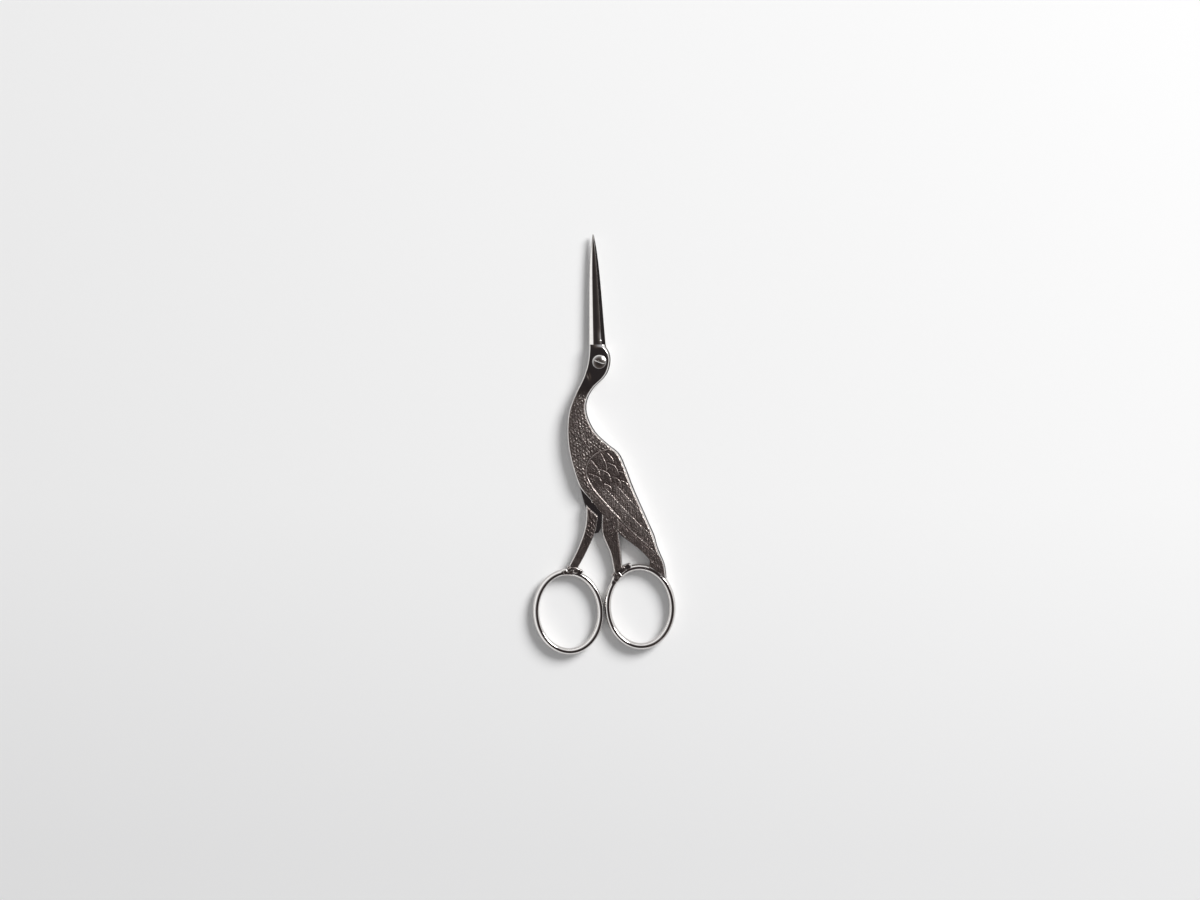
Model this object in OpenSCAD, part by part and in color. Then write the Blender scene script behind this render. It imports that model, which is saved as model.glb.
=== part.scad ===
// Stork embroidery scissors: two forged halves that lap at the pivot, and the slotted screw that joins them.
// The blades are the stork's beak and the screw is its eye. The scissors lie closed on their back. The
// origin is on the pivot's axis at the back face, +Y runs to the tips and +Z to the screw's head.

/* [Blades] */
// Height of the tips above the pivot
blade_len = 34.9; // [26:0.1:45]
// Width of the closed pair of blades where they leave the head
root_w = 4.65; // [3.6:0.05:5.2]
// Width of the closed pair of blades at the tips
tip_w = 0.35; // [0.3:0.05:0.8]
// Sideways lean of the tips from the pivot
tip_lean = 1.72; // [0:0.02:3]
// Share of the taper that is straight, where the rest rounds in at the tips
straight_share = 0.63; // [0.4:0.01:1]
// Width of the strip of one blade that shows beside the other, at the head
blade_step = 0.95; // [0.5:0.05:1.3]
// Thickness of one blade at its ridge, at the head
ridge_t = 1.4; // [1:0.05:1.6]
// Thickness of one blade at its ridge, at the tip
tip_t = 0.5; // [0.3:0.05:0.8]
// Thickness left along a cutting edge
edge_t = 0.08; // [0.05:0.01:0.15]

/* [Plates] */
// Thickness of each half where the two lap
plate_t = 1.78; // [1.4:0.02:2.4]
// Running gap between the two halves
ride_gap = 0.04; // [0.02:0.01:0.1]
// Width of the rounded edge along the breast and the inside of the neck
edge_round = 0.45; // [0.2:0.05:0.8]
// Width of the rounded edge along the back and the wing
wing_round = 1.1; // [0.4:0.05:1.4]
// Distance from the pivot to the arc where the rear half stops and the front half takes its full depth
lap_r = 44.5; // [42.5:0.5:46]
// Gap across that arc
lap_gap = 0.3; // [0.2:0.05:0.6]

/* [Bird] */
// Width of the head across the pivot
head_w = 6.15; // [5.6:0.05:7.2]
// Narrowest width of the neck
neck_w = 4.35; // [3.4:0.05:5]
// Distance that the neck swings out to the side of the pivot
neck_swing = 5.1; // [3.5:0.1:6.5]
// Width of the body across the wing's shoulder
body_w = 13.4; // [11:0.1:15]
// Width of the folded wing at its broadest
wing_w = 11.2; // [9:0.1:12]
// Height that the wing stands above the body
wing_rise = 0.14; // [0.08:0.02:0.3]
// Height that its feathers stand above the wing
feather_rise = 0.08; // [0.04:0.01:0.16]
// Width of the left leg at the thigh
left_thigh_w = 3.05; // [2.4:0.05:3.6]
// Width of the right leg at the thigh
right_thigh_w = 4.6; // [3.6:0.1:5.2]
// Width of both legs at the ankle
ankle_w = 2.3; // [1.6:0.05:2.8]
// Breadth of a toe that lies along a bow
toe_w = 2.2; // [1.6:0.1:2.8]

/* [Bows] */
// Clear width of each bow
bow_in_w = 15.8; // [14:0.1:19]
// Clear height of each bow
bow_in_h = 19.8; // [18:0.1:24]
// Width of the bow's bar, seen from the front
bar_w = 1.85; // [1.3:0.05:2.2]
// Depth of the bow's bar, from front to back
bar_t = 2.9; // [2.2:0.05:3.2]
// Distance from the pivot down to the right bow's centre
bow_drop = 66.9; // [64:0.1:74]
// Distance that the left bow sits below the right bow
bow_stagger = 1.4; // [0:0.1:2.5]
// Gap between the bows when the scissors are closed
bow_gap = 0.15; // [0.1:0.05:1]
// Tilt of both bows, in degrees
bow_tilt = 3.5; // [0:0.5:8]

/* [Pivot screw] */
// Radius of the screw's head
screw_head_r = 1.88; // [1.5:0.02:2.2]
// Height of the screw's head above its seat
screw_head_t = 0.85; // [0.6:0.05:1.2]
// Height of the dome on the screw's head
screw_dome = 0.45; // [0.2:0.05:0.55]
// Depth of the head's seat in the front half
seat_depth = 0.25; // [0.1:0.05:0.5]
// Radius of the plain shank that the front half turns on
shank_r = 1.2; // [1.05:0.05:1.4]
// Radius of the threaded end in the rear half
thread_r = 0.95; // [0.7:0.05:1]
// Running clearance round the shank and under the head
run_clear = 0.03; // [0.02:0.01:0.08]
// Width of the driver slot
slot_w = 0.42; // [0.3:0.02:0.6]
// Depth of the driver slot
slot_d = 0.35; // [0.2:0.05:0.5]
// Turn of the driver slot, in degrees
slot_turn = -20; // [-90:5:90]

/* [Hidden] */
$fn = 64;

// Heights of the faces that lap, and the middle plane between them
front_z = plate_t + ride_gap;
top_z = front_z + plate_t;
mid_z = plate_t + ride_gap / 2;

// Clearances of the screw that aren't a running fit, and the depth that joined forms share
thread_clear = 0.01;
seat_clear = 0.08;
bite = 0.3;

// Spline steps between two ribs, and sides of a bow's loop and of its bar
RIB_STEPS = 4;
BOW_STEPS = 72;
BAR_SIDES = 12;

function lerp(a, b, t) = a + (b - a) * t;
function flat_list(rows) = [for (row = rows) for (p = row) p];
function turned(p, a) = [p[0] * cos(a) - p[1] * sin(a), p[0] * sin(a) + p[1] * cos(a)];

// A curve through every row, whatever a row holds
function curve_at(a, b, c, d, t) =
    0.5 * (2 * b + (c - a) * t + (2 * a - 5 * b + 4 * c - d) * t * t + (3 * b - a - 3 * c + d) * t * t * t);
function curve(rows, steps = RIB_STEPS) =
    let (last = len(rows) - 1)
    concat(
        [for (i = [0 : last - 1]) for (j = [0 : steps - 1])
            curve_at(rows[max(i - 1, 0)], rows[i], rows[i + 1], rows[min(i + 2, last)], j / steps)],
        [rows[last]]);

// A skin over cross-sections that all have the same number of points
module loft(sections, closed = false) {
    n = len(sections[0]);
    m = len(sections);
    spans = closed ? m : m - 1;
    walls = [for (i = [0 : spans - 1]) for (j = [0 : n - 1])
        [i * n + j, i * n + (j + 1) % n, ((i + 1) % m) * n + (j + 1) % n, ((i + 1) % m) * n + j]];
    caps = closed ? [] : [[for (j = [n - 1 : -1 : 0]) j], [for (j = [0 : n - 1]) (m - 1) * n + j]];
    polyhedron(points = flat_list(sections), faces = concat(walls, caps), convexity = 6);
}

// A rib lies across the bird: [side, height, width, slant, rounded width left, rounded width right,
// wall left, wall right, thickness, roundness of the two edges]
function rib_point(rib, s, z) = [rib[0] + s * cos(rib[3]), rib[1] + s * sin(rib[3]), z];
function rounded(s0, z0, s1, z1, roundness) =
    [for (a = [30, 60]) [
        lerp(lerp(s0, s1, a / 90), lerp(s0, s1, 1 - cos(a)), roundness),
        lerp(lerp(z0, z1, a / 90), lerp(z0, z1, sin(a)), roundness)]];
function rib_section(rib, face_z, up) =
    let (
        h = rib[2] / 2,
        left = rounded(-h, rib[6], -h + rib[4], rib[8], rib[9]),
        right = rounded(h, rib[7], h - rib[5], rib[8], rib[9]),
        shape = [
            [-h, 0], [-h, rib[6]], left[0], left[1], [-h + rib[4], rib[8]],
            [h - rib[5], rib[8]], right[1], right[0], [h, rib[7]], [h, 0]],
        points = [for (p = shape) rib_point(rib, p[0], face_z + up * p[1])])
    up > 0 ? points : [for (i = [len(points) - 1 : -1 : 0]) points[i]];

// The closed pair of blades at a share t of the way from the head to the tips
root_y = 4.4;
root_side = -0.49;
TIP_POWER = 6;
function pair_side(t) = lerp(root_side, -tip_lean, t);
function pair_w(t) = lerp(root_w, tip_w, straight_share * t + (1 - straight_share) * pow(t, TIP_POWER));
function step_w(t) = blade_step * pair_w(t) / root_w;

// One blade of the pair: spine is -1 for a spine on the left and 1 for a spine on the right
SPINE_SHARE = 0.34;
BEVEL_SHARE = 0.22;
SPINE_T_SHARE = 0.42;
function blade_rib(t, spine) =
    let (
        w = pair_w(t) - step_w(t),
        side = pair_side(t) + spine * step_w(t) / 2,
        ridge = lerp(ridge_t, tip_t, t),
        facets = [w * SPINE_SHARE, w * BEVEL_SHARE],
        walls = [ridge * SPINE_T_SHARE, edge_t],
        left = spine < 0 ? 0 : 1)
    [side, lerp(root_y, blade_len, t), w, 0, facets[left], facets[1 - left], walls[left], walls[1 - left], ridge, 0];
function blade_ribs(spine) = [for (t = [1, 0.98, 0.94, 0.87, 0.78, 0.66, 0.5, 0.3, 0]) blade_rib(t, spine)];

// A rib of a plate, where share says how much of its right edge is rounded as the wing is
wall_t = plate_t - 0.5;
function plate_rib(side, y, w, slant, share = 0) =
    [side, y, w, slant, edge_round, lerp(edge_round, wing_round, share), wall_t, wall_t, plate_t, 1];

// The head, neck and body that both halves share
neck_ribs = [
    plate_rib(-0.42, 4.1, root_w, 0, 0.8),
    plate_rib(-0.05, 2.6, lerp(root_w, head_w, 0.6), 0, 0.6),
    plate_rib(0, 0.4, head_w, 2),
    plate_rib(-0.6, -2.3, head_w + 0.1, 2),
    plate_rib(-neck_swing / 3, -4.6, head_w - 0.2, 6),
    plate_rib(0.2 - 0.75 * neck_swing, -7.15, lerp(neck_w, head_w, 0.28), 11),
    plate_rib(-neck_swing, -10, neck_w, 12),
    plate_rib(-neck_swing - 0.8, -13, neck_w + 0.45, 12, 0.2)];
body_ribs = [
    plate_rib(-5.75, -16.4, lerp(neck_w, body_w, 0.18), 12, 0.5),
    plate_rib(-4.8, -19.9, lerp(neck_w, body_w, 0.39), 10, 0.8),
    plate_rib(-3, -23.4, lerp(neck_w, body_w, 0.7), 12, 1),
    plate_rib(-0.8, -27.2, body_w - 0.2, 20, 1),
    plate_rib(0.95, -31.4, body_w + 0.25, 23, 1)];

// The bows: an ellipse each, turned by the tilt, placed so that the gap between the bows is kept
bow_a = bow_in_w / 2 + bar_w / 2;
bow_b = bow_in_h / 2 + bar_w / 2;
bow_half_w = norm([(bow_a + bar_w / 2) * cos(bow_tilt), (bow_b + bar_w / 2) * sin(bow_tilt)]);
bows_meet = 1.3;
right_bow = [bows_meet + bow_gap / 2 + bow_half_w, -bow_drop];
left_bow = [bows_meet - bow_gap / 2 - bow_half_w, -bow_drop - bow_stagger];
function bow_point(bow, a) = bow + turned([bow_a * cos(a), bow_b * sin(a)], bow_tilt);
function bow_normal(a) = let (d = turned([cos(a) / bow_a, sin(a) / bow_b], bow_tilt)) d / norm(d);
function bar_section(bow, a, out, w, t) =
    [for (k = [0 : BAR_SIDES - 1])
        let (b = 360 * k / BAR_SIDES, p = bow_point(bow, a) + bow_normal(a) * (out + w / 2 * cos(b)))
        [p[0], p[1], mid_z + t / 2 * sin(b)]];
module bow(centre) {
    loft([for (i = [0 : BOW_STEPS - 1]) bar_section(centre, 360 * i / BOW_STEPS, 0, bar_w, bar_t)], true);
}

// A toe lies along a bow and stands proud of its outside: two knuckles, and an end that is pointed where
// blunt is 0 and square where it is 1
TOE_STEPS = 10;
TOE_CREASE = 0.14;
TOE_LIFT = 0.12;
LEFT_TOE_PROUD = 0.35;
RIGHT_TOE_PROUD = 1.05;
module toe(centre, from, to, proud, blunt) {
    sections = [for (i = [0 : TOE_STEPS])
        let (
            s = i / TOE_STEPS,
            taper = sqrt(1 - lerp(0.96, 0.7, blunt) * pow(s, lerp(2.5, 9, blunt))),
            swell = (1 - TOE_CREASE * pow(sin(360 * s), 2)) * taper,
            out = proud + bar_w / 2 - toe_w / 2 - toe_w * (1 - swell) * lerp(0.3, 0.1, blunt))
        bar_section(centre, lerp(from, to, s), out, toe_w * swell, (bar_t + 2 * TOE_LIFT) * pow(swell, 0.4))];
    loft(to > from ? sections : [for (i = [TOE_STEPS : -1 : 0]) sections[i]]);
}
module foot(centre, ankle, left, right, left_blunt, right_blunt) {
    toe(centre, ankle - 5, ankle + left, LEFT_TOE_PROUD, left_blunt);
    toe(centre, ankle + 5, ankle - right, RIGHT_TOE_PROUD, right_blunt);
}

// The wing's plate and the tail run on from the body, and the tail ends on the right bow
TAIL_ANGLE = 52;
tail_end = bow_point(right_bow, TAIL_ANGLE);
tail_normal = bow_normal(TAIL_ANGLE);
tail_slant = atan2(-tail_normal[0], tail_normal[1]);
tail_ribs = [
    plate_rib(3.2, -35.4, body_w - 1.2, 21, 1),
    plate_rib(5.55, -39.4, body_w - 2.3, 17, 1),
    plate_rib(9.3, -45, 0.65 * body_w, 25, 1),
    plate_rib(12.0, -48.45, 0.49 * body_w, 22, 1),
    plate_rib(13.5, -50.85, 0.37 * body_w, 12, 0.8),
    plate_rib(lerp(13.5, tail_end[0], 0.55), lerp(-50.85, tail_end[1], 0.29), 0.303 * body_w, 5, 0.6),
    plate_rib(lerp(13.5, tail_end[0], 0.91), lerp(-50.85, tail_end[1], 0.56), 0.334 * body_w, -16, 0.5),
    plate_rib(lerp(13.5, tail_end[0], 0.99), lerp(-50.85, tail_end[1], 0.92), 0.42 * body_w, tail_slant + 7, 0.4)];

// The rear half has no tail beyond the lap, and its belly runs into the left leg
belly_ribs = [
    plate_rib(2.25, -35.3, body_w + 0.6, 16, 1),
    plate_rib(3.6, -39, body_w + 1.3, 8, 1),
    plate_rib(4.75, -42.5, body_w + 2.4, 5, 1),
    plate_rib(5.7, -46.4, body_w + 4, 2, 1)];

module plate(spine, last, face_z, up) {
    ribs = concat(blade_ribs(spine), curve(concat(neck_ribs, body_ribs, last)));
    loft([for (rib = ribs) rib_section(rib, face_z, up)]);
}

// The full depth of the tail, a little inside the outline of the plate above it
TAIL_INSET = 0.1;
function deepened(rib) =
    let (depth = front_z + bite)
    [rib[0], rib[1], rib[2] - 2 * TAIL_INSET, rib[3], edge_round, edge_round,
        depth - edge_round, depth - edge_round, depth, 1];
module tail_block() {
    loft([for (rib = curve(tail_ribs)) rib_section(deepened(rib), front_z + bite, -1)]);
}

// The folded wing, raised on the body: [side, height, width as a share, slant]
wing_rows = [
    [0.9, -24.3, 0.22, 18],
    [0.85, -26.2, 0.68, 12],
    [1.55, -30.2, 0.91, -1],
    [3.25, -34.6, 0.99, -7],
    [5.75, -38.7, 0.92, -12],
    [8.9, -43.7, 0.71, -19],
    [12.0, -48, 0.42, -23],
    [14.3, -51.2, 0.15, -21]];
module wing() {
    low = top_z - bite;
    rise = bite + wing_rise;
    loft([for (row = curve(wing_rows))
        rib_section([row[0], row[1], row[2] * wing_w, row[3], 0.3, 0.3, rise / 2, rise / 2, rise, 1], low, 1)]);
}

// The long feathers of the folded wing: raised lines that keep their distance from its front border, and
// that stop where they reach its back edge
vane_top = -34;
VANE_LOW = 0.22;
VANE_HIGH = 0.07;
function wing_spot(row, inward, z) = rib_point([row[0], row[1], 0, row[3]], inward - row[2] * wing_w / 2, z);
module vane(inward) {
    low = top_z + wing_rise / 2;
    high = top_z + wing_rise + feather_rise;
    rows = [for (row = curve(wing_rows))
        if (row[1] < vane_top && row[2] * wing_w > 1.25 * inward) row];
    loft([for (row = rows) [
        wing_spot(row, inward - VANE_LOW, low), wing_spot(row, inward - VANE_HIGH, high),
        wing_spot(row, inward + VANE_HIGH, high), wing_spot(row, inward + VANE_LOW, low)]]);
}

// The coverts, the small feathers on the upper wing: drops with bevelled sides, [side, height, length]
coverts = [
    [0.6, -27.1, 3.6], [-1.55, -29, 3.2], [3.3, -26.1, 2.7], [3.85, -29.6, 3.3], [1.85, -31.5, 3.1],
    [-1.7, -31.85, 2.2], [0.35, -33.4, 2.3], [5.1, -33, 2.9]];
COVERT_SHARE = 0.64;
COVERT_TURN = -57;
function covert_outline(c, share, z) =
    [for (a = [0 : 24 : 336])
        let (p = turned([cos(a), COVERT_SHARE * sin(a) * (0.66 + 0.34 * cos(a))], COVERT_TURN) * c[2] / 2 * share)
        [c[0] + p[0], c[1] + p[1], z]];
module plumage() {
    for (c = coverts)
        loft([
            covert_outline(c, 1, top_z + wing_rise / 2), covert_outline(c, 0.8, top_z + wing_rise + feather_rise)]);
    for (inward = [0.25 * wing_w, 0.47 * wing_w]) vane(inward);
}

// The head's face falls away towards the blades, and to the right of them
HEAD_FLAT = 3.2;
BEVEL_W = 1.1;
module head_bevels() {
    for (facet = [[0, 19, 1], [-42, 22, 0.94]])
        rotate(facet[0]) translate([0, facet[2] * HEAD_FLAT, top_z]) rotate([-facet[1], 0, 0])
            translate([-head_w, 0, 0]) cube([2 * head_w, BEVEL_W, BEVEL_W]);
}

// A leg is a bar with rounded edges along rows of [side, height, width, low face, high face]
function across(rows, i) =
    let (d = rows[min(i + 1, len(rows) - 1)] - rows[max(i - 1, 0)], n = [-d[1], d[0]])
    n / norm(n);
module leg(rows, soft = 0.5) {
    path = curve(rows);
    corner = soft * 0.3;
    loft([for (i = [0 : len(path) - 1])
        let (
            r = path[i], n = across(path, i), h = r[2] / 2,
            shape = [
                [-h + soft, r[3]], [-h + corner, r[3] + corner], [-h, r[3] + soft],
                [-h, r[4] - soft], [-h + corner, r[4] - corner], [-h + soft, r[4]],
                [h - soft, r[4]], [h - corner, r[4] - corner], [h, r[4] - soft],
                [h, r[3] + soft], [h - corner, r[3] + corner], [h - soft, r[3]]])
        [for (p = shape) [r[0] + n[0] * p[0], r[1] + n[1] * p[0], p[1]]]]);
}

LEFT_ANKLE = 82;
RIGHT_ANKLE = 127;
ankle_low = mid_z - bar_t / 2 + 0.1;
ankle_high = mid_z + bar_t / 2 - 0.1;
function leg_rows(hip, thigh, shin_bulge, thigh_w, ankle, low, high) =
    let (shin = lerp(thigh, ankle, 0.5) + shin_bulge)
    [
        [hip[0], hip[1], thigh_w, low, high],
        [thigh[0], thigh[1], thigh_w, low, high],
        [shin[0], shin[1], lerp(ankle_w, thigh_w, 0.35), lerp(low, ankle_low, 0.5), lerp(high, ankle_high, 0.5)],
        [ankle[0], ankle[1], ankle_w, ankle_low, ankle_high]];

module left_leg() {
    leg(leg_rows([-2.05, -38.2], [-2.25, -44.6], [0.5, -0.1], left_thigh_w,
        bow_point(left_bow, LEFT_ANKLE), 0.05, top_z - 0.15));
}

right_hip = [3.05, -40.5];
module right_leg() {
    leg(leg_rows(right_hip, [3.0, -46.2], [0.35, 0.2], right_thigh_w,
        bow_point(right_bow, RIGHT_ANKLE), 0.05, top_z - 0.04));
}

// The rear half's web below the belly, between the left leg and the edge of the right one
web_top = [-1.6, -41];
web_foot = [-1.6, -47];
module belly_web() {
    left = web_top[0];
    edge = right_hip[0] - right_thigh_w / 2 - lap_gap;
    high = web_top[1];
    low = web_foot[1];
    corners = [[left, high], [edge, high], [edge, lerp(high, low, 0.73)], [lerp(edge, left, 0.35), low], [left, low]];
    loft([for (z = [0.03, 0.95] * plate_t) [for (c = corners) [c[0], c[1], z]]]);
}

// Everything nearer the pivot than the lap, below the front half's plate
module lap_room() {
    translate([0, 0, -1]) cylinder(r = lap_r, h = front_z + 1);
}

// The slanted step where the left leg takes its full depth
module belly_step() {
    translate([-3.5, -39.1, plate_t]) rotate(-43.7) translate([-6, 0, 0]) cube([12, 6, plate_t + 2]);
}

module front_half() {
    color("silver")
    difference() {
        union() {
            plate(-1, tail_ribs, front_z, 1);
            wing();
            plumage();
            difference() {
                union() {
                    right_leg();
                    tail_block();
                }
                lap_room();
            }
            bow(right_bow);
            foot(right_bow, RIGHT_ANKLE, 17, 27, 0.6, 1);
        }
        head_bevels();
        cylinder(r = shank_r + run_clear, h = top_z + 1);
        translate([0, 0, top_z - seat_depth]) cylinder(r = screw_head_r + seat_clear, h = 1);
    }
}

module rear_half() {
    color("silver")
    difference() {
        union() {
            intersection() {
                plate(1, belly_ribs, plate_t, -1);
                translate([0, 0, -1]) cylinder(r = lap_r - lap_gap, h = plate_t + 2);
            }
            difference() {
                left_leg();
                belly_step();
            }
            belly_web();
            bow(left_bow);
            foot(left_bow, LEFT_ANKLE, 24, 20, 0, 0.8);
        }
        translate([0, 0, -1]) cylinder(r = thread_r + thread_clear, h = plate_t + 2);
    }
}

module pivot_screw() {
    seat_z = top_z - seat_depth + run_clear;
    dome_r = (pow(screw_head_r, 2) + pow(screw_dome, 2)) / (2 * screw_dome);
    color("gainsboro")
    difference() {
        union() {
            cylinder(r = thread_r, h = plate_t);
            translate([0, 0, plate_t]) cylinder(r = shank_r, h = seat_z - plate_t);
            intersection() {
                translate([0, 0, seat_z]) cylinder(r = screw_head_r, h = screw_head_t);
                translate([0, 0, seat_z + screw_head_t - dome_r]) sphere(r = dome_r);
            }
        }
        translate([0, 0, seat_z + screw_head_t - slot_d + 1])
            rotate(slot_turn) cube([4 * screw_head_r, slot_w, 2], center = true);
    }
}

front_half();
rear_half();
pivot_screw();
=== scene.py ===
import math

import bmesh
import bpy
import numpy as np
from mathutils import Matrix, Vector


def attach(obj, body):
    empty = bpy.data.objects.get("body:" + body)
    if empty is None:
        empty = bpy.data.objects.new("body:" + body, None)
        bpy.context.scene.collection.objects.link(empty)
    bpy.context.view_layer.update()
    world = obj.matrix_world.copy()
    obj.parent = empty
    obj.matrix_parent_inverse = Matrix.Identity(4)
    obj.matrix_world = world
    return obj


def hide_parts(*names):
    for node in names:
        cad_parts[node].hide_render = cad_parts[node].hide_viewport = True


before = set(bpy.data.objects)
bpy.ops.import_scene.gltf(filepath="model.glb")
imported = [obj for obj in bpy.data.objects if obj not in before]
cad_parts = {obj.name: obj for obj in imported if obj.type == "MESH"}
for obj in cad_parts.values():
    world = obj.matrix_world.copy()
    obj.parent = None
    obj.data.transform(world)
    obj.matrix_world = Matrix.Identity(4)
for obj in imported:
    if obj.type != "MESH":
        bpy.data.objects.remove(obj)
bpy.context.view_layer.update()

# Stork embroidery scissors. Shapes are worked out in millimetres, in the frame of the CAD model: the
# origin on the pivot's axis at the back face, +Y to the tips and +Z to the screw's head.
MM = 0.001

# Sizes that the CAD model has too
BLADE_LEN, ROOT_W, TIP_W, TIP_LEAN = 34.9, 4.65, 0.35, 1.72
ROOT_Y, ROOT_SIDE, STRAIGHT_SHARE, TIP_POWER = 4.4, -0.49, 0.63, 6
BLADE_STEP, RIDGE_T, TIP_T, EDGE_T = 0.95, 1.4, 0.5, 0.08
PLATE_T, RIDE_GAP = 1.78, 0.04
FRONT_Z = PLATE_T + RIDE_GAP
TOP_Z = FRONT_Z + PLATE_T
MID_Z = PLATE_T + RIDE_GAP / 2
EDGE_ROUND, WING_ROUND, ROUND_T = 0.45, 0.55, 0.5
LAP_R, LAP_GAP = 44.5, 0.3
HEAD_W, NECK_W, NECK_SWING, BODY_W = 6.15, 4.35, 5.1, 13.4
BOW_IN_W, BOW_IN_H, BAR_W, BAR_T = 15.8, 19.8, 1.85, 2.9
BOW_DROP, BOW_STAGGER, BOW_GAP, BOW_TILT, BOWS_MEET = 66.9, 1.4, 0.15, 3.5, 1.3
LEFT_THIGH_W, RIGHT_THIGH_W, ANKLE_W, TOE_W = 3.05, 4.6, 2.3, 2.2
HEAD_R, HEAD_T, HEAD_DOME, SEAT_DEPTH = 1.88, 0.85, 0.45, 0.25
SHANK_R, THREAD_R = 1.2, 0.95
RUN_CLEAR, SEAT_CLEAR, THREAD_CLEAR = 0.03, 0.08, 0.01
SLOT_W, SLOT_D, SLOT_TURN = 0.42, 0.35, -20
# Where the legs stand on the bows, in degrees round them
LEFT_ANKLE, RIGHT_ANKLE = 82, 127
# Heights of the legs' faces at the hips and at the ankles
LEG_LOW, LEFT_LEG_TOP, RIGHT_LEG_TOP = 0.05, TOP_Z - 0.15, TOP_Z - 0.04
ANKLE_LOW, ANKLE_TOP = MID_Z - BAR_T / 2 + 0.1, MID_Z + BAR_T / 2 - 0.1
# The depth that joined forms share
BITE = 0.3


def lerp(a, b, t):
    return a + (b - a) * t


def smooth(low, high, x):
    """A soft step from 0 at low to 1 at high."""
    t = np.clip((x - low) / (high - low), 0, 1)
    return t * t * (3 - 2 * t)


def curve(rows, steps):
    """Points along a smooth curve through every row, whatever a row holds."""
    rows = np.array(rows, float)
    last = len(rows) - 1
    t = (np.arange(steps) / steps)[:, None]
    spans = []
    for i in range(last):
        a, b, c, d = rows[max(i - 1, 0)], rows[i], rows[i + 1], rows[min(i + 2, last)]
        bend, twist = 2 * a - 5 * b + 4 * c - d, 3 * b - a - 3 * c + d
        spans.append(0.5 * (2 * b + (c - a) * t + bend * t**2 + twist * t**3))
    return np.concatenate(spans + [rows[last:]])


# ---- Solids ----


def skin(rings, closed=False):
    """A closed tube through rings of points: a grid, wrapped round and sealed."""
    around = rings.shape[1]
    rings = np.concatenate([rings, rings[:, :1]], axis=1)
    if closed:
        rings = np.concatenate([rings, rings[:1]])
    bm = bmesh.new()
    bmesh.ops.create_grid(bm, x_segments=around, y_segments=len(rings) - 1, size=1)
    for vert, p in zip(bm.verts, rings.reshape(-1, 3) * MM):
        vert.co = p
    bmesh.ops.remove_doubles(bm, verts=bm.verts, dist=1e-7)
    if not closed:
        bmesh.ops.holes_fill(bm, edges=[e for e in bm.edges if e.is_boundary], sides=0)
    bmesh.ops.recalc_face_normals(bm, faces=bm.faces)
    return bm


def post(radius, low, high, sides=96):
    """A round bar on the pivot's axis."""
    bm = bmesh.new()
    bmesh.ops.create_cone(
        bm, cap_ends=True, segments=sides, radius1=radius * MM, radius2=radius * MM,
        depth=(high - low) * MM, matrix=Matrix.Translation((0, 0, (low + high) / 2 * MM)))
    return bm


def move(x, y, z):
    """A shift by so many millimetres."""
    return Matrix.Translation(Vector((x, y, z)) * MM)


def box(place, width, length, height):
    """A box of a size in millimetres, put in its place by a matrix."""
    bm = bmesh.new()
    size = Matrix.Diagonal((width * MM, length * MM, height * MM, 1))
    bmesh.ops.create_cube(bm, size=1, matrix=place @ size)
    return bm


def piece(name, bm):
    """Makes a closed form an object of the scene."""
    mesh = bpy.data.meshes.new(name)
    bm.to_mesh(mesh)
    bm.free()
    obj = bpy.data.objects.new(name, mesh)
    bpy.context.scene.collection.objects.link(obj)
    return obj


def loose(obj):
    """Takes a piece back as a loose form, to be joined to another one."""
    bm = bmesh.new()
    bm.from_mesh(obj.data)
    bpy.data.objects.remove(obj)
    return bm


def join(obj, tools, operation="UNION"):
    """Joins closed forms to a piece, or cuts them out of it, and leaves plain mesh."""
    made = [piece("tool", bm) for bm in tools]
    for tool in made:
        cut = obj.modifiers.new("cut", "BOOLEAN")
        cut.solver, cut.operation, cut.object = "MANIFOLD", operation, tool
    bpy.context.view_layer.update()
    finished = obj.evaluated_get(bpy.context.evaluated_depsgraph_get())
    done = bpy.data.meshes.new_from_object(finished)
    obj.modifiers.clear()
    obj.data = done
    for tool in made:
        bpy.data.objects.remove(tool)
    return obj


def shade(obj, angle=38):
    """Smooth faces, with every edge sharper than an angle in degrees left sharp."""
    obj.data.shade_smooth()
    obj.data.set_sharp_from_angle(angle=math.radians(angle))


# ---- Engraving, seen from the front, as heights above the plain face ----

# The wing's front border, from the shoulder round the front and down to the wing's tip
BORDER = curve([
    (3.4, -23.7), (1.0, -24.2), (-1.0, -25.1), (-2.5, -26.5), (-3.4, -28.2), (-3.6, -30.2),
    (-3.0, -32.4), (-1.5, -35.0), (2.4, -39.5), (5.2, -42.5), (8.1, -45.5), (11.1, -48.3),
    (13.6, -50.5), (16.5, -53.2)], 14)
# A line inside the wing's back edge, and how far outside it the wing ends
BACK = curve([
    (-2.6, -17.6), (-0.4, -21.3), (2.6, -24.0), (4.7, -25.6), (5.8, -27.5), (7.3, -31.7), (8.8, -35.0),
    (10.7, -38.8), (12.5, -43.5), (14.4, -48.1), (16.3, -53.0)], 14)
BACK_OUT = 0.5
# How far the long feathers' lines run from the border, and the pitch of their beads
FEATHER_LINES = (0.0, 2.8, 5.6, 7.8)
BEAD_PITCH = 0.72
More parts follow.
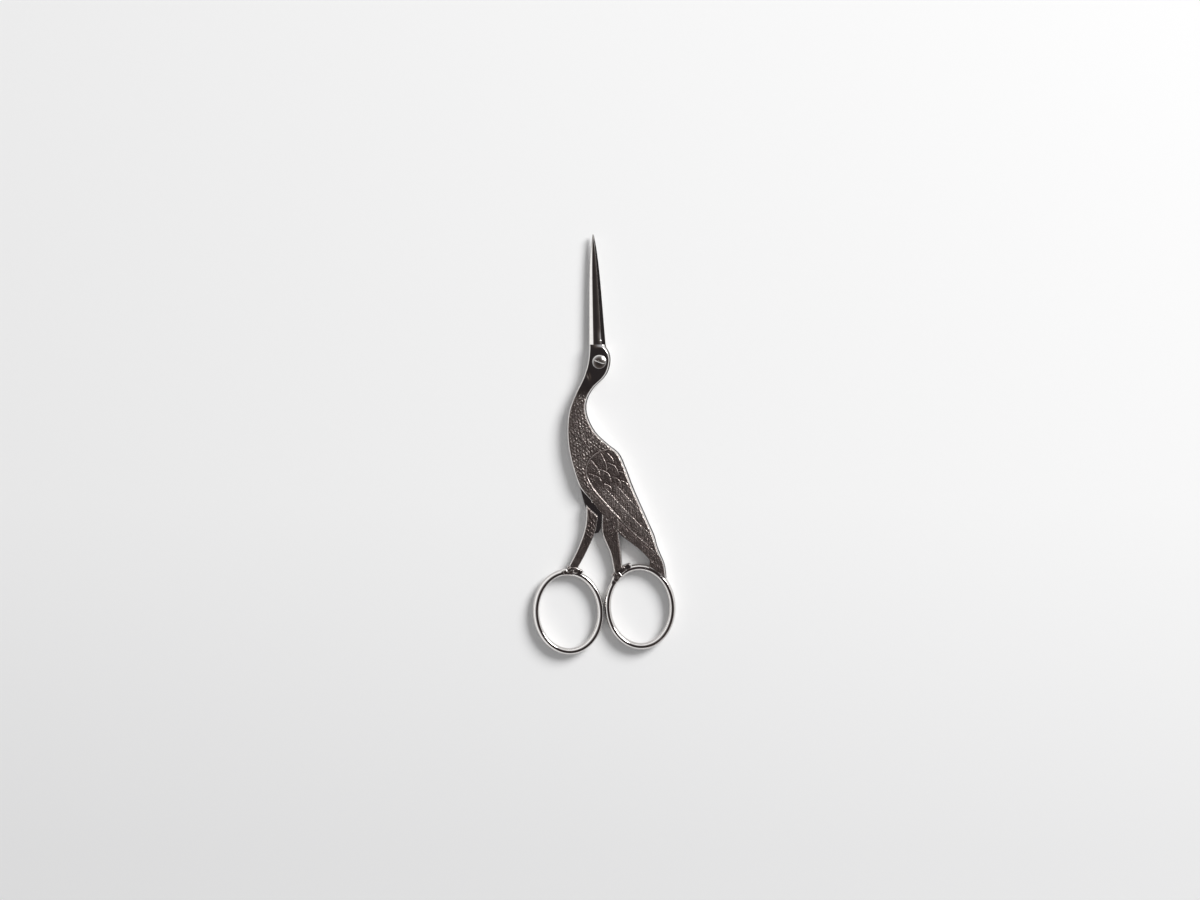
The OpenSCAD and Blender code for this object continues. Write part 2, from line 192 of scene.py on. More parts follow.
# Edges of the coverts, the small feathers of the upper wing. Each runs to the right and hooks down, and
# the first row sweeps down more evenly: shape, side, height, width across and down.
HOOK = np.array([(0, 0), (0.6, -0.22), (0.85, -0.5), (1, -1)])
SWEEP = np.array([(0, 0), (0.45, -0.32), (0.8, -0.6), (1, -1)])
COVERTS = [
    (SWEEP, -2.2, -27.0, 2.3, 3.8), (SWEEP, 0.55, -25.2, 1.5, 4.4), (SWEEP, 2.2, -24.9, 1.7, 2.6),
    (HOOK, 2.25, -27.6, 3.0, 3.5), (HOOK, -0.2, -29.35, 3.5, 3.5), (HOOK, 3.6, -31.45, 2.4, 2.65),
    (HOOK, 1.3, -33.35, 2.1, 2.0), (HOOK, -2.8, -30.6, 3.7, 3.2), (HOOK, 5.4, -29.85, 2.4, 2.8),
    (HOOK, 6.0, -32.5, 2.1, 2.2)]


def beside(line, x, y):
    """How far each point lies to the left of a line down the bird, and how far along the line."""
    d = np.diff(line, axis=0)
    length = np.hypot(d[:, 0], d[:, 1])
    run = np.concatenate([[0], np.cumsum(length)])
    side = np.full(x.shape, 1e9)
    along = np.zeros(x.shape)
    for i in range(len(d)):
        u = d[i] / length[i]
        px, py = x - line[i, 0], y - line[i, 1]
        t = np.clip(px * u[0] + py * u[1], 0, length[i])
        dist = np.hypot(px - t * u[0], py - t * u[1])
        near = dist < np.abs(side)
        sign = np.where(u[0] * py - u[1] * px >= 0, 1, -1)
        side = np.where(near, dist * sign, side)
        along = np.where(near, run[i] + t, along)
    return side, along


def ridge(d, width):
    """A rounded ridge of height 1 where d is 0."""
    return np.exp(-((d / width) ** 2))


def chance(r, c, seed):
    """A fixed scatter from -0.5 to 0.5 for the scale in a row and a column."""
    mix = np.sin(r * 12.9898 + c * 78.233 + seed) * 43758.5453
    return mix - np.floor(mix) - 0.5


def scales(x, y, turn, pitch, jitter, seed, shape):
    """Scales in staggered rows that lie across a direction, given as turn in degrees."""
    a = math.radians(turn)
    along = (x * math.cos(a) + y * math.sin(a)) / pitch[0] + 0.5
    across = (-x * math.sin(a) + y * math.cos(a)) / pitch[1] + 0.5
    row = np.floor(along)
    height = np.zeros(x.shape)
    for i in (-1, 0, 1):
        for j in (-1, 0, 1):
            r = row + i
            c = np.floor(across - 0.5 * (r % 2)) + j
            da = along - (r + 0.5) - jitter * chance(r, c, seed)
            dc = across - 0.5 * (r % 2) - (c + 0.5) - jitter * chance(c, r, seed + 5)
            height = np.maximum(height, shape(da, dc) * (0.8 + 0.6 * chance(r, c, seed + 9)))
    return height


def pebble(da, dc):
    """A plump little scale."""
    return np.exp(-((da / 0.36) ** 2) - (dc / 0.27) ** 2)


def coverts(x, y):
    """Raised edges of overlapping feathers, each with a groove behind it and a dotted shaft before it."""
    height = np.zeros(x.shape)
    for shape, side, up, w, h in COVERTS:
        d, run = beside(curve(shape * (w, h) + (side, up), 6), x, y)
        edge = ridge(d, 0.09) * smooth(1.15 * h + 0.5 * w, 0.8 * h, run) - 0.45 * ridge(d - 0.24, 0.12)
        shaft = 0.4 * beads(d + 0.24 * w + 0.35, run, 0.09, 0.5) * smooth(0.9 * h, 0.6 * h, run)
        height += edge + shaft * (run > 0.1)
    return height


def beads(side, along, width, pitch):
    """A row of small raised beads along a line."""
    phase = (along / pitch) % 1 - 0.5
    return ridge(side, width) * (0.1 + 0.9 * ridge(phase, 0.22))


def engraving(x, y):
    """Heights of the raised wing, and of the fine marks on it and round it."""
    q, run = beside(BORDER, x, y)
    back, back_run = beside(BACK, x, y)
    back = back - BACK_OUT
    wing = smooth(-0.12, 0.12, q) * smooth(0.2, -0.1, back)
    # Neck, breast and belly: small scales that fade out towards the legs and on the left
    before_wing = smooth(-0.1, -0.6, np.where(y < -24.5, q, -1))
    fade = smooth(-7.0, -10.5, y) * (1 - wing) * smooth(-42.5, -30.0, y) * before_wing
    marks = fade * (0.032 + 0.04 * smooth(-8.4, -5.0, x - 0.10 * (y + 20))) * scales(
        x, y, -60, (1.0, 0.82), 0.5, 3.0, pebble)
    # Coverts on the upper wing
    upper = wing * smooth(-36.8, -35.4, y + 0.1 * x)
    marks += upper * 0.047 * coverts(x, y)
    # Long feathers on the lower wing and the tail: each rises to a beaded edge and steps down to the next
    for at, nxt in zip((-2.7,) + FEATHER_LINES, FEATHER_LINES):
        low = smooth(-34.6, -36.0, y + 0.1 * x - 0.3 * nxt)
        rise = smooth(at, nxt, q) * smooth(nxt + 0.14, nxt, q)
        beaded = 0.05 * beads(q - nxt + 0.06, run, 0.12, BEAD_PITCH) * (nxt > 0)
        marks += low * (0.01 * rise + beaded)
    # The raised line of the front border: smooth above, beaded below
    line = smooth(2.5, 5.5, run)
    lower = smooth(-42.0, -43.2, y)
    bright = smooth(-30.5, -32.5, y)
    plain = (1 - lower) * (0.025 + 0.05 * bright) * ridge(q - 0.08 * bright, 0.13)
    marks += line * (plain + lower * 0.062 * beads(q, run, 0.13, BEAD_PITCH))
    marks -= line * 0.035 * ridge(q + 0.32, 0.15)
    # Beads along the tail's lower edge
    marks += 0.062 * beads(q + 2.45, run, 0.14, 0.9) * smooth(-44, -46, y)
    # The line where the right thigh meets the tail
    marks += 0.035 * ridge(x - 5.0, 0.14) * smooth(-42.0, -42.6, y) * smooth(-46.0, -45.4, y)
    # Barbs along the wing's back edge
    marks += 0.03 * ridge(back + 0.3, 0.3) * (0.5 + 0.5 * np.sin(back_run * 3.7)) * smooth(-19, -21, y)
    # Arcs on the right thigh
    arc = np.hypot(x - 0.2, y + 37.6)
    thigh = smooth(-41.2, -42.6, y) * smooth(-48.5, -46.5, y) * smooth(0.2, -0.6, q)
    marks += 0.006 * np.cos(arc * 5.2) * thigh
    return 0.08 * wing, marks


def shin_marks(x, y):
    """Arcs on the left thigh, one below the other."""
    height = 0 * x
    for i in range(5):
        px, py = x + 4.0 + 0.1 * i, y + 45.1 + 1.25 * i
        height += ridge(np.hypot(px, py) - 3.0, 0.13) * smooth(0.5, 0.9, px) * smooth(-0.4, 0.3, py)
    return 0.045 * height


def head_fall(x, y):
    """How far the head's face falls away outside its flat, towards the blades and at the upper right."""
    turn = np.degrees(np.arctan2(y, x))
    flat_r = 2.75 + 1.12 * smooth(20, 85, turn)
    slope = 0.34 + 0.2 * smooth(105, 60, turn)
    ahead = smooth(8, 20, turn) * smooth(120, 92, turn)
    hollow = ridge(np.hypot((x + 2.9 + 0.3 * (y + 3.8)) / 0.6, (y + 3.8) / 1.6), 0.75)
    return ahead * np.minimum(slope * np.clip(np.hypot(x, y) - flat_r, 0, 9), 0.55) + 0.2 * hollow


# ---- The plates ----


def plate_rib(side, y, w, slant, share=0.0, left=EDGE_ROUND):
    """A rib across the bird, where share says how much of its right edge is rounded as the wing is."""
    return (side, y, w, slant, left, lerp(EDGE_ROUND, WING_ROUND, share))


NECK_RIBS = [
    plate_rib(-0.5, 4.75, ROOT_W - 0.1, 0, 0.9),
    plate_rib(-0.42, 4.1, ROOT_W, 0, 0.9),
    plate_rib(-0.05, 2.6, lerp(ROOT_W, HEAD_W, 0.6), 0, 0.6),
    plate_rib(0, 0.4, HEAD_W, 2),
    plate_rib(-0.6, -2.3, HEAD_W + 0.1, 2),
    plate_rib(-NECK_SWING / 3, -4.6, HEAD_W - 0.2, 6),
    plate_rib(0.2 - 0.75 * NECK_SWING, -7.15, lerp(NECK_W, HEAD_W, 0.28), 11),
    plate_rib(-NECK_SWING, -10, NECK_W, 12),
    plate_rib(-NECK_SWING - 0.8, -13, NECK_W + 0.45, 12, 0.2)]
BODY_RIBS = [
    plate_rib(-5.75, -16.4, lerp(NECK_W, BODY_W, 0.18), 12, 0.5),
    plate_rib(-4.8, -19.9, lerp(NECK_W, BODY_W, 0.39), 10, 0.8),
    plate_rib(-3, -23.4, lerp(NECK_W, BODY_W, 0.7), 12, 1),
    plate_rib(-0.8, -27.2, BODY_W - 0.2, 20, 1),
    plate_rib(0.95, -31.4, BODY_W + 0.25, 23, 1)]

BOW_A = BOW_IN_W / 2 + BAR_W / 2
BOW_B = BOW_IN_H / 2 + BAR_W / 2
TILT = math.radians(BOW_TILT)
BOW_HALF_W = math.hypot((BOW_A + BAR_W / 2) * math.cos(TILT), (BOW_B + BAR_W / 2) * math.sin(TILT))
RIGHT_BOW = np.array([BOWS_MEET + BOW_GAP / 2 + BOW_HALF_W, -BOW_DROP])
LEFT_BOW = np.array([BOWS_MEET - BOW_GAP / 2 - BOW_HALF_W, -BOW_DROP - BOW_STAGGER])


def turned(x, y):
    """Points turned by the tilt of the bows."""
    return np.stack([x * math.cos(TILT) - y * math.sin(TILT), x * math.sin(TILT) + y * math.cos(TILT)], -1)


def bow_point(bow, a):
    """The middle of a bow's bar at an angle round the bow, in degrees."""
    a = np.radians(a)
    return bow + turned(BOW_A * np.cos(a), BOW_B * np.sin(a))


def bow_normal(a):
    """The way out of a bow, square to its bar."""
    a = np.radians(a)
    d = turned(np.cos(a) / BOW_A, np.sin(a) / BOW_B)
    return d / np.linalg.norm(d, axis=-1, keepdims=True)


TAIL_RIBS = [
    plate_rib(3.2, -35.4, BODY_W - 1.2, 21, 1, 0.25),
    plate_rib(5.55, -39.4, BODY_W - 2.3, 17, 1, 0.25),
    plate_rib(9.3, -45, 0.65 * BODY_W, 25, 1, 0.12),
    plate_rib(12.0, -48.45, 0.49 * BODY_W, 22, 1, 0.12),
    plate_rib(13.5, -50.85, 0.37 * BODY_W, 12, 0.8, 0.12),
    plate_rib(14.9, -52.95, 0.303 * BODY_W, 5, 0.9, 0.12),
    plate_rib(15.8, -54.9, 0.334 * BODY_W, -16, 0.7, 0.12),
    plate_rib(16.0, -57.5, 0.425 * BODY_W, -33, 0.4, 0.12)]
BELLY_RIBS = [
    plate_rib(2.25, -35.3, BODY_W + 0.6, 16, 1),
    plate_rib(3.6, -39, BODY_W + 1.3, 8, 1),
    plate_rib(4.75, -42.5, BODY_W + 2.4, 5, 1),
    plate_rib(5.7, -46.4, BODY_W + 4, 2, 1)]

# A quarter turn round a plate's edge, and points across its face
ARC = np.radians(np.linspace(0, 90, 7))
ACROSS = 140
# How far the carved back lies inside the flat that the scissors rest on
BACK_REST = 0.3


def stations(ribs, spacing):
    """Ribs at an even spacing down the bird, wider apart where the steel is plain."""
    rows = curve(ribs, 60)
    gap = np.where(rows[:-1, 1] > -8.8, 2.2, np.where(rows[:-1, 1] < -54, 1.6, 1.0))
    steps = np.linalg.norm(np.diff(rows[:, :2], axis=0), axis=1) / gap
    run = np.concatenate([[0], np.cumsum(steps)])
    at = np.linspace(0, run[-1], int(run[-1] / spacing) + 1)
    return np.stack([np.interp(at, run, rows[:, i]) for i in range(rows.shape[1])], -1)


def slab(ribs, spacing, flat_z, face_z, inset=(0.0, 0.0), across=ACROSS):
    """A plate along ribs: flat on one side, and rounded at the edges and engraved on its face."""
    ribs = stations(ribs, spacing)
    up = 1 if face_z > flat_z else -1
    h = ribs[:, 2:3] / 2
    left, right = ribs[:, 4:5], ribs[:, 5:6]
    s = np.concatenate([
        -h + inset[0] + left * (1 - np.cos(ARC)),
        lerp(-h + inset[0] + left, h - inset[1] - right, np.linspace(0, 1, across + 1)[1:-1]),
        (h - inset[1] - right * (1 - np.cos(ARC)))[:, ::-1]], axis=1)
    low = ROUND_T * (1 - np.sin(ARC))
    drop = np.concatenate([low, np.zeros(across - 1), low[::-1]])
    a = np.radians(ribs[:, 3:4])
    x, y = ribs[:, 0:1] + s * np.cos(a), ribs[:, 1:2] + s * np.sin(a)
    edge = smooth(0.15, 0.6, s + h - inset[0]) * smooth(0.3, 1.0, (h - inset[1] - s) / right)
    relief = sum(engraving(x, y)) * edge - head_fall(x, y)
    lift = 0 if up > 0 else BACK_REST
    z = face_z - up * (drop + lift) + up * relief
    face = np.stack([x, y, z], -1)
    feet = face[:, [0, -1]].copy()
    feet[..., 2] = flat_z
    return skin(np.concatenate([feet[:, :1], face, feet[:, 1:]], axis=1))


def pair_w(t):
    """Width of the closed pair of blades at a share t of the way to the tips."""
    return lerp(ROOT_W, TIP_W, STRAIGHT_SHARE * t + (1 - STRAIGHT_SHARE) * t**TIP_POWER)


# A blade's facets from its spine to its cutting edge, as shares of its width and of its ridge's height
FACETS = [
    (-0.5, 0), (-0.5, 0.40), (-0.49, 0.45), (-0.18, 0.97), (-0.16, 1.0), (0.1, 0.985), (0.25, 0.93),
    (0.40, 0.85), (0.44, 0.80), (0.5, EDGE_T), (0.5, 0)]


def blade(spine, flat_z, up):
    """One blade: a steep spine facet, a broad flat, and the narrow bevel of the cutting edge."""
    t = np.linspace(1, 0, 60)[:, None]
    step = BLADE_STEP * pair_w(t) / ROOT_W
    w = pair_w(t) - step
    side = lerp(ROOT_SIDE, -TIP_LEAN, t) + spine * step / 2
    ridge_z = lerp(RIDGE_T, TIP_T, t)
    y = lerp(ROOT_Y - 1.2, BLADE_LEN, t)
    s = np.array([p[0] for p in FACETS]) * w * -spine
    z = flat_z + up * np.array([p[1] for p in FACETS]) * ridge_z
    # The facet beside the flat is ground a little deeper near the root
    z[:, 7:9] -= up * 0.16 * np.clip(1 - ((y - 7.4) / 2.0) ** 2, 0, 1)
    return skin(np.stack([side + s, y + 0 * s, z], -1))


# ---- Bows, feet and legs ----

BAR = np.radians(np.arange(0, 360, 12))
# How far the bars' crests lean, as the bows are rolled
LEFT_LEAN, RIGHT_LEAN, LOW_LEAN = 0.45, 0.15, 0.15
TOE_PROUD = (0.35, 1.05)


def squared(v, power):
    """A sine or cosine bent so that the section it draws is squarer than a circle."""
    return np.sign(v) * np.abs(v) ** power


def bars(bow, angles, out, w, t, power=(0.92, 0.95)):
    """Cross-sections of a bow's bar at some angles round the bow."""
    angles = np.atleast_1d(angles)[:, None]
    across = squared(np.cos(BAR), power[0])
    rise = squared(np.sin(BAR), power[1])
    normal = bow_normal(angles)
    # The bar's crest leans a little to the lower right all round
    right_lean = LEFT_LEAN if bow is LEFT_BOW else RIGHT_LEAN
    lean = (right_lean * normal[..., 0] - LOW_LEAN * normal[..., 1]) * (1 - across**2)
    p = bow_point(bow, angles) + normal * (out + w / 2 * (across + lean))[..., None]
    z = np.broadcast_to(MID_Z + t / 2 * rise, p.shape[:2])
    return np.concatenate([p, z[..., None]], -1)


def ring(bow):
    """The closed loop of a bow."""
    return skin(bars(bow, np.arange(0, 360, 2), 0, BAR_W, BAR_T), closed=True)


def toe(bow, start, end, proud, blunt):
    """A toe that lies along a bow: flat on top, with two knuckles and a blunt or a pointed end."""
    s = np.linspace(0, 1, 36)[:, None]
    taper = np.sqrt(1 - lerp(0.96, 0.7, blunt) * s ** lerp(2.5, 9, blunt))
    swell = (1 - 0.14 * np.sin(2 * np.pi * s) ** 2) * taper
    w = TOE_W * swell
    out = proud + BAR_W / 2 - TOE_W / 2 - (TOE_W - w) * lerp(0.3, 0.1, blunt)
    return skin(bars(bow, lerp(start, end, s[:, 0]), out, w, (BAR_T + 0.24) * swell**0.4, (0.5, 0.4)))


def foot(bow, ankle, left, right, blunt):
    """Two toes that part at the ankle, and run so many degrees to the left and to the right."""
    return [
        toe(bow, ankle - 5, ankle + left, TOE_PROUD[0], blunt[0]),
        toe(bow, ankle + 5, ankle - right, TOE_PROUD[1], blunt[1])]


# A quarter turn round a leg's edge
LEG_ARC = np.radians(np.linspace(0, 90, 6))


def leg(hip, thigh, bulge, thigh_w, ankle, low, high, soft, marks):
    """A leg with rounded edges, from the hip to the ankle on its bow."""
    shin = lerp(np.array(thigh), ankle, 0.5) + np.array(bulge)
    rows = curve([
        (*hip, thigh_w, low, high), (*thigh, thigh_w, low, high),
        (*shin, lerp(ANKLE_W, thigh_w, 0.35), lerp(low, ANKLE_LOW, 0.5), lerp(high, ANKLE_TOP, 0.5)),
        (*ankle, ANKLE_W, ANKLE_LOW, ANKLE_TOP)], 60)
    d = np.gradient(rows[:, :2], axis=0)
    n = np.stack([-d[:, 1], d[:, 0]], -1) / np.linalg.norm(d, axis=1)[:, None]
    h = rows[:, 2:3] / 2
    left, right = soft
    flat = np.linspace(0, 1, 30)[1:-1]
    s = np.concatenate([
        -h + left * (1 - np.cos(LEG_ARC)), lerp(-h + left, h - right, flat),
        (h - right * (1 - np.cos(LEG_ARC)))[:, ::-1]], 1)
    fall = 1 - np.sin(LEG_ARC)
    drop = np.concatenate([left * fall, 0 * flat, (right * fall)[::-1]])
    x, y = rows[:, 0:1] + n[:, 0:1] * s, rows[:, 1:2] + n[:, 1:2] * s
    lift = marks(x, y) * smooth(0.1, 0.5, h - np.abs(s))
    top = np.stack([x, y, rows[:, 4:5] - drop + lift], -1)
    under = np.stack([x, y, rows[:, 3:4] + drop], -1)[:, ::-1]
    return skin(np.concatenate([top, under], 1))


# ---- The two halves and the screw ----

# How far the front half's back edge stands inside the rear half's, so that the parting line shows
PARTING = 0.28
# The slanted step where the left leg takes its full depth
STEP_AT, STEP_TURN, FACET_TILT = (-3.5, -39.1), -43.7, -35


def front_half():
    """The upper half: the left-spined blade, the bird down to its tail, the right leg and the right bow."""
    # Beyond the lap the tail and the leg take the full depth
    tail = piece("tail", slab(TAIL_RIBS, 0.22, FRONT_Z + BITE, 0.0, (0.02, 0.02), 70))
    join(tail, [leg(
        (3.1, -40.5), (3.0, -46.2), (0.35, 0.2), RIGHT_THIGH_W, bow_point(RIGHT_BOW, RIGHT_ANKLE),
        LEG_LOW, RIGHT_LEG_TOP, (0.65, 0.6), lambda x, y: engraving(x, y)[1])])
    join(tail, [post(LAP_R, -1, FRONT_Z, 360)], "DIFFERENCE")
    half = piece("forged_front_half", slab(
        NECK_RIBS + BODY_RIBS + TAIL_RIBS, 0.125, FRONT_Z, TOP_Z, (0.0, PARTING)))
    join(half, [
        blade(-1, FRONT_Z, 1), loose(tail), ring(RIGHT_BOW),
        *foot(RIGHT_BOW, RIGHT_ANKLE, 17, 27, (0.6, 1))])
    join(half, [
        post(SHANK_R + RUN_CLEAR, 1, TOP_Z + 1),
        post(HEAD_R + SEAT_CLEAR, TOP_Z - SEAT_DEPTH, TOP_Z + 1)], "DIFFERENCE")
    return half


def rear_half():
    """The lower half: the right-spined blade, the bird to the end of the lap, the left leg and bow."""
    half = piece("forged_rear_half", slab(
        NECK_RIBS + BODY_RIBS + BELLY_RIBS, 0.16, PLATE_T, 0.0, across=100))
    join(half, [post(LAP_R - LAP_GAP, -1, PLATE_T + 1, 360)], "INTERSECT")
    shin = piece("shin", leg(
        (-2.05, -38.2), (-2.25, -44.6), (0.5, -0.1), LEFT_THIGH_W, bow_point(LEFT_BOW, LEFT_ANKLE),
        LEG_LOW, LEFT_LEG_TOP, (0.5, 0.15), shin_marks))
    # The slanted step behind the belly, and a narrow facet along its edge
    turn = Matrix.Rotation(math.radians(STEP_TURN), 4, "Z")
    tilt = Matrix.Rotation(math.radians(FACET_TILT), 4, "X")
    step = move(*STEP_AT, PLATE_T) @ turn @ move(0, 3, PLATE_T / 2 + 1)
    facet = move(*STEP_AT, LEFT_LEG_TOP) @ turn @ tilt @ move(0, 0.5, 0.8)
    join(shin, [box(step, 12, 6, PLATE_T + 2), box(facet, 12, 4, 2)], "DIFFERENCE")
    # The web below the belly, up to the right leg
    edge = 3.05 - RIGHT_THIGH_W / 2 - LAP_GAP
    corners = [(-1.6, -41), (edge, -41), (edge, -45.4), (edge - 0.7, -46.7), (-1.6, -47)]
    web = skin(np.array([[(*c, z) for c in corners] for z in (0.06, PLATE_T - 0.1)]))
    join(half, [
        blade(1, PLATE_T, -1), loose(shin), web, ring(LEFT_BOW),
        *foot(LEFT_BOW, LEFT_ANKLE, 24, 20, (0, 0.8))])
    join(half, [post(THREAD_R + THREAD_CLEAR, -1, PLATE_T + 1)], "DIFFERENCE")
    return half


def screw():
    """The pivot screw: a turned profile, with the driver slot cut across its domed head."""
    seat = TOP_Z - SEAT_DEPTH + RUN_CLEAR
    top = seat + HEAD_T
    dome_r = (HEAD_R**2 + HEAD_DOME**2) / (2 * HEAD_DOME)
    profile = [
        (0, 0.0), (THREAD_R, 0), (THREAD_R, PLATE_T), (SHANK_R, PLATE_T), (SHANK_R, seat),
        (HEAD_R - 0.05, seat), (HEAD_R, seat + 0.05)]
    for r in np.linspace(HEAD_R, 0, 12):
        rim_fall = 0.015 if r == HEAD_R else 0
        profile.append((r, top - dome_r + math.sqrt(dome_r**2 - r**2) - rim_fall))
    bm = bmesh.new()
    verts = [bm.verts.new((r * MM, 0, z * MM)) for r, z in profile]
    edges = [bm.edges.new(pair) for pair in zip(verts, verts[1:])]
    bmesh.ops.spin(
        bm, geom=verts + edges, cent=(0, 0, 0), axis=(0, 0, 1), angle=math.tau, steps=96, use_merge=True)
    bmesh.ops.remove_doubles(bm, verts=bm.verts, dist=1e-7)
    bmesh.ops.recalc_face_normals(bm, faces=bm.faces)
    w, low = SLOT_W / 2, top - SLOT_D
    # The slot's floor slopes, as the cutter leaves it
    section = [(-w, low + 0.2), (-w, top + 0.2), (w, top + 0.2), (w, low)]
    slot = skin(np.array([[(x, u, z) for u, z in section] for x in (-4, 4)]))
    turn = Matrix.Rotation(math.radians(SLOT_TURN), 3, "Z")
    bmesh.ops.rotate(slot, verts=slot.verts, cent=(0, 0, 0), matrix=turn)
    return join(piece("slotted_screw", bm), [slot], "DIFFERENCE")


# ---- Finishes ----


class Field:
    """A socket that can stand in sums, and adds its Math nodes."""

    def __init__(self, finish, socket):
        self.finish, self.socket = finish, socket

    def _maths(self, operation, a, b):
        return self.finish.node("ShaderNodeMath", {"operation": operation}, {0: a, 1: b})

    def __add__(self, other):
        return self._maths("ADD", self, other)

    def __rsub__(self, other):
        return self._maths("SUBTRACT", other, self)

    def __mul__(self, other):
        return self._maths("MULTIPLY", self, other)

    __radd__, __rmul__ = __add__, __mul__


class Finish:
    """A material under construction."""

    def __init__(self, name, tree=None):
        if tree is None:
            self.material = bpy.data.materials.new(name)
            self.material.use_nodes = True
            tree = self.material.node_tree
        self.tree = tree
        tree.nodes.clear()

    def node(self, kind, settings=None, values=None, out=0):
        made = self.tree.nodes.new(kind)
        for key, value in (settings or {}).items():
            if key == "stops":
                ramp = made.color_ramp.elements
                while len(ramp) < len(value):
                    ramp.new(1)
                for stop, (at, colour) in zip(ramp, value):
                    stop.position, stop.color = at, (*colour, 1)
            else:
                setattr(made, key, value)
        for key, value in (values or {}).items():
            if isinstance(value, Field):
                self.tree.links.new(value.socket, made.inputs[key])
            else:
                made.inputs[key].default_value = value
        return Field(self, made.outputs[out]) if made.outputs else None

    def noise(self, size, detail, scale=(1, 1, 1), turn=0.0):
        spot = self.node("ShaderNodeTexCoord", out="Object")
        place = self.node("ShaderNodeMapping", None, {
            "Vector": spot, "Scale": scale, "Rotation": (0, 0, math.radians(turn))})
        return self.node("ShaderNodeTexNoise", None, {
            "Vector": place, "Scale": 1 / (size * MM), "Detail": detail})

    def attribute(self, name):
        return self.node("ShaderNodeAttribute", {"attribute_name": name}, out="Fac")

    def colour(self, amount, a, b):
        a, b = ((*c, 1) if isinstance(c, tuple) else c for c in (a, b))
        return self.node("ShaderNodeMix", {"data_type": "RGBA"}, {0: amount, 6: a, 7: b}, out=2)


NICKEL = (0.63, 0.61, 0.595)
SCREW_NICKEL = (0.62, 0.60, 0.58)
DARK_NICKEL = (0.110, 0.077, 0.068)


def steel(name, bright, rough):
    """Polished nickel, with a rougher and darker finish where a piece is carved."""
    f = Finish(name)
    raised = f.attribute("raised")
    carved = f.attribute("carved")
    cloud = f.noise(2.2, 3)
    fine = f.noise(0.3, 2)
    hatch = f.noise(0.28, 1, (1.0, 0.1, 1.0), 4)
    # The dirt in the hollows is brown in places and slate grey in others
    brown = DARK_NICKEL
    dirt = f.colour(f.noise(0.6, 1), brown, (brown[0] * 0.85, brown[1], brown[2] * 1.15))
    worn = f.colour(carved, bright, (bright[0], bright[1] * 0.93, bright[2] * 0.89))
    base = f.colour(raised * (0.8 + 0.4 * cloud), dirt, worn)
    roughness = rough + 0.05 * cloud + carved * (0.24 - 0.08 * raised)
    bump = f.node("ShaderNodeBump", None, {
        "Strength": 0.7, "Distance": 0.0002,
        "Height": 0.8 * hatch * f.attribute("barbed") + fine * (0.016 + 0.95 * carved)})
    metal = f.node("ShaderNodeBsdfPrincipled", None, {
        "Base Color": base, "Roughness": roughness, "Metallic": 1.0, "Normal": bump})
    f.node("ShaderNodeOutputMaterial", None, {"Surface": metal})
    return f.material


def carve_marks(obj):
    """Stores how raised, how carved and how barbed each point of a half is, for its finish."""
    mesh = obj.data
    co = np.empty(len(mesh.vertices) * 3, np.float32)
    mesh.vertices.foreach_get("co", co)
    x, y, z = (co.reshape(-1, 3) / MM).T
    wing, marks = engraving(x, y)
    facing = np.empty(len(mesh.vertices) * 3, np.float32)
    mesh.vertex_normals.foreach_get("vector", facing)
    level = np.abs(facing.reshape(-1, 3)[:, 2])
    face_z = TOP_Z - 0.45 * smooth(-46, -57, y)
    on_face = np.maximum(smooth(face_z - 0.5, face_z - 0.1, z), smooth(0.6, 0.4, z))
    # The bows are plain, and the toes on them are a little dark
    limit = lerp(1.0, 0.92, smooth(12, 14, x))
    outside = [
        smooth(0, 0.06, np.hypot(
            (x - bow[0]) / (BOW_A + BAR_W / 2), (y - bow[1]) / (BOW_B + BAR_W / 2)) - limit)
        for bow in (LEFT_BOW, RIGHT_BOW)]
    toes = 0.6 * smooth(0.0, 0.05, z - MID_Z - BAR_T / 2) * smooth(-54, -55, y)
    bird = on_face * smooth(-5.5, -11, y) * outside[0] * outside[1]
    carved = np.maximum(bird, toes) * smooth(0.8, 0.93, level)
    # The scales of the neck and the breast keep more of their dark finish than the wing
    raised = 1 - carved * (1 - np.clip(0.12 + marks / (0.084 - 0.55 * wing), 0, 1))
    barbed = carved * (0.7 * smooth(-33, -37, y) + 5 * wing)
    for name, value in (("raised", raised), ("carved", carved), ("barbed", barbed)):
        mesh.attributes.new(name, "FLOAT", "POINT").data.foreach_set("value", value.astype(np.float32))


front = front_half()
rear = rear_half()
pin = screw()
for obj in (front, rear):
    carve_marks(obj)
    shade(obj)
shade(pin, 30)

# The screw is raised all over
points = len(pin.data.vertices)
pin.data.attributes.new("raised", "FLOAT", "POINT").data.foreach_set("value", np.ones(points, np.float32))

for obj, finish, body, node, slot in (
        (front, steel("worn_nickel_front", NICKEL, 0.08), "front", "front_half", "forged_steel_front"),
        (rear, steel("worn_nickel_rear", NICKEL, 0.08), "rear", "rear_half", "forged_steel_rear"),
        (pin, steel("screw_nickel", SCREW_NICKEL, 0.15), "rear", "pivot_screw", "screw_steel")):
    obj.data.materials.clear()
    obj.data.materials.append(finish)
    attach(obj, body)
    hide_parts(node)

# ---- Floor, light and camera ----

bm = bmesh.new()
bmesh.ops.create_grid(bm, x_segments=1, y_segments=1, size=3)
floor = piece("floor", bm)
paper = Finish("white_sheet")
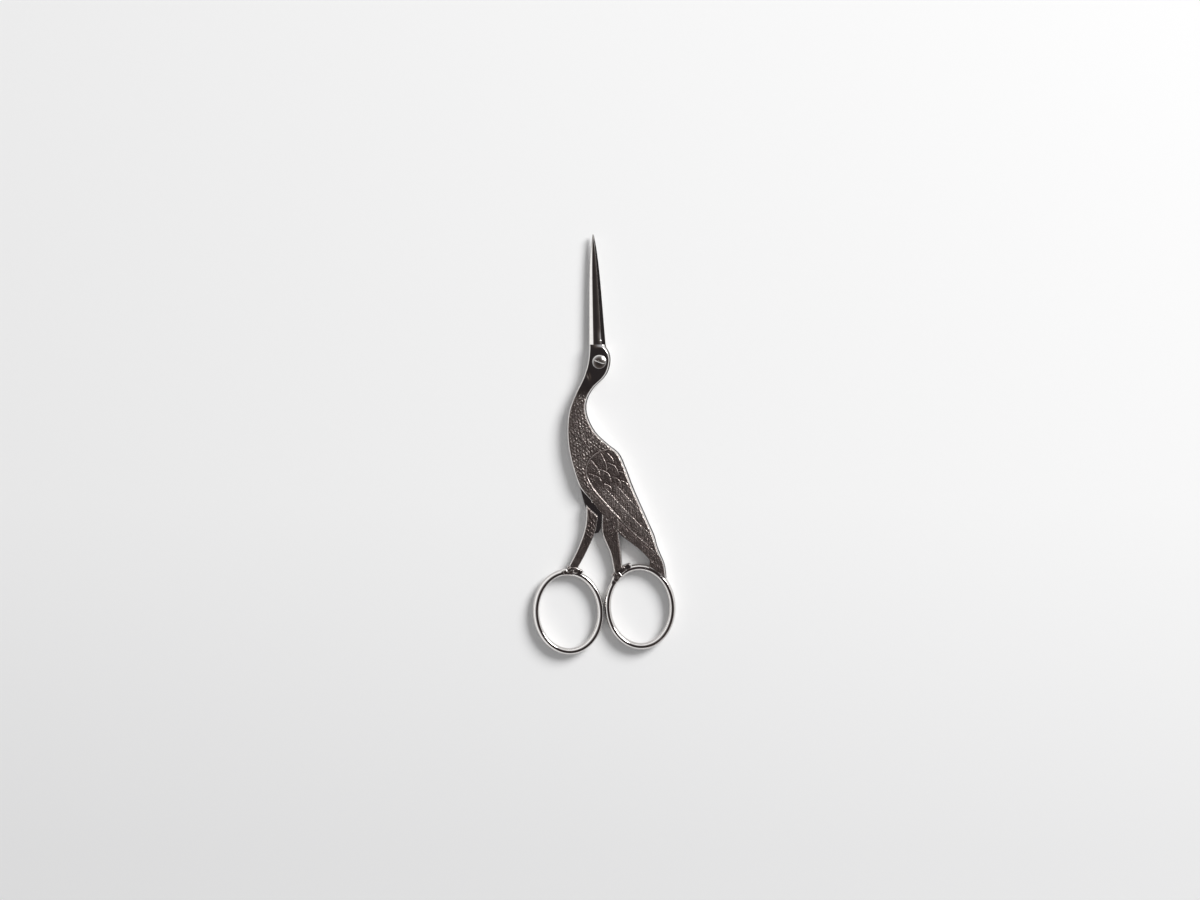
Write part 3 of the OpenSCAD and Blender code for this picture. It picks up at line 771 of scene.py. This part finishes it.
# The sheet's colour is a little darker on the near side: painted shade that stands for the key lamp's light
# falling off away from it
spot = paper.node("ShaderNodeTexCoord", out="Object")
near = paper.node("ShaderNodeSeparateXYZ", None, {0: spot}, out="Y") * 10.5 + 1.40
# Painted shade: the sheet's colour runs from darker on the near side to lighter on the far side
painted_falloff = paper.colour(near, (0.895, 0.895, 0.895), (0.972, 0.972, 0.97))
sheet = paper.node("ShaderNodeBsdfPrincipled", None, {
    "Base Color": painted_falloff, "Roughness": 0.9, "Specular IOR Level": 0.2})
paper.node("ShaderNodeOutputMaterial", None, {"Surface": sheet})
floor.data.materials.append(paper.material)

world = bpy.data.worlds.new("studio")
bpy.context.scene.world = world
world.use_nodes = True
sky = Finish("studio", world.node_tree)
# Metal sees a dark zone overhead, a little towards the near side
way = sky.node("ShaderNodeTexCoord", out="Generated")
overhead = sky.node("ShaderNodeVectorMath", {"operation": "DOT_PRODUCT"}, {
    0: way, 1: (0.04, -0.133, 0.99)}, out="Value")
seen = sky.node("ShaderNodeValToRGB", {"stops": [
    (0.0, (1.45, 1.45, 1.45)), (0.34, (1.36, 1.36, 1.36)), (0.47, (1.02, 1.02, 1.03)),
    (0.57, (0.58, 0.59, 0.62)), (0.67, (0.26, 0.25, 0.26)), (0.77, (0.12, 0.098, 0.09)),
    (0.87, (0.07, 0.057, 0.052)), (0.94, (0.042, 0.034, 0.033)),
    (1.0, (0.030, 0.026, 0.028))]}, {"Fac": overhead})
glossy = sky.node("ShaderNodeLightPath", out="Is Glossy Ray")
ambient = sky.colour(glossy, (0.315, 0.315, 0.318), seen)
glow = sky.node("ShaderNodeBackground", None, {"Color": ambient, "Strength": 1.0})
sky.node("ShaderNodeOutputWorld", None, {"Surface": glow})

# The lamp stands at the upper right, and the camera straight above the middle of the sheet
CENTRE = Vector((0.19, -24.04, 0)) * MM
LAMP_WAY = Vector((0.594, 0.523, 0.610))
LAMP_AWAY = 2.2
key = bpy.data.lights.new("key", "AREA")
key.shape, key.size, key.energy = "DISK", 0.52 * LAMP_AWAY, 10.0 * LAMP_AWAY**2
lamp = bpy.data.objects.new("key", key)
lamp.location = CENTRE + LAMP_WAY * LAMP_AWAY
lamp.rotation_euler = LAMP_WAY.to_track_quat("Z", "Y").to_euler()

camera = bpy.data.cameras.new("camera")
camera.lens, camera.sensor_width = 85, 36
eye = bpy.data.objects.new("camera", camera)
eye.location = CENTRE + Vector((0, 0, 0.7746 + 0.0025))
for obj in (lamp, eye):
    bpy.context.scene.collection.objects.link(obj)
bpy.context.scene.camera = eye
bpy.context.scene.view_settings.view_transform = "Standard"
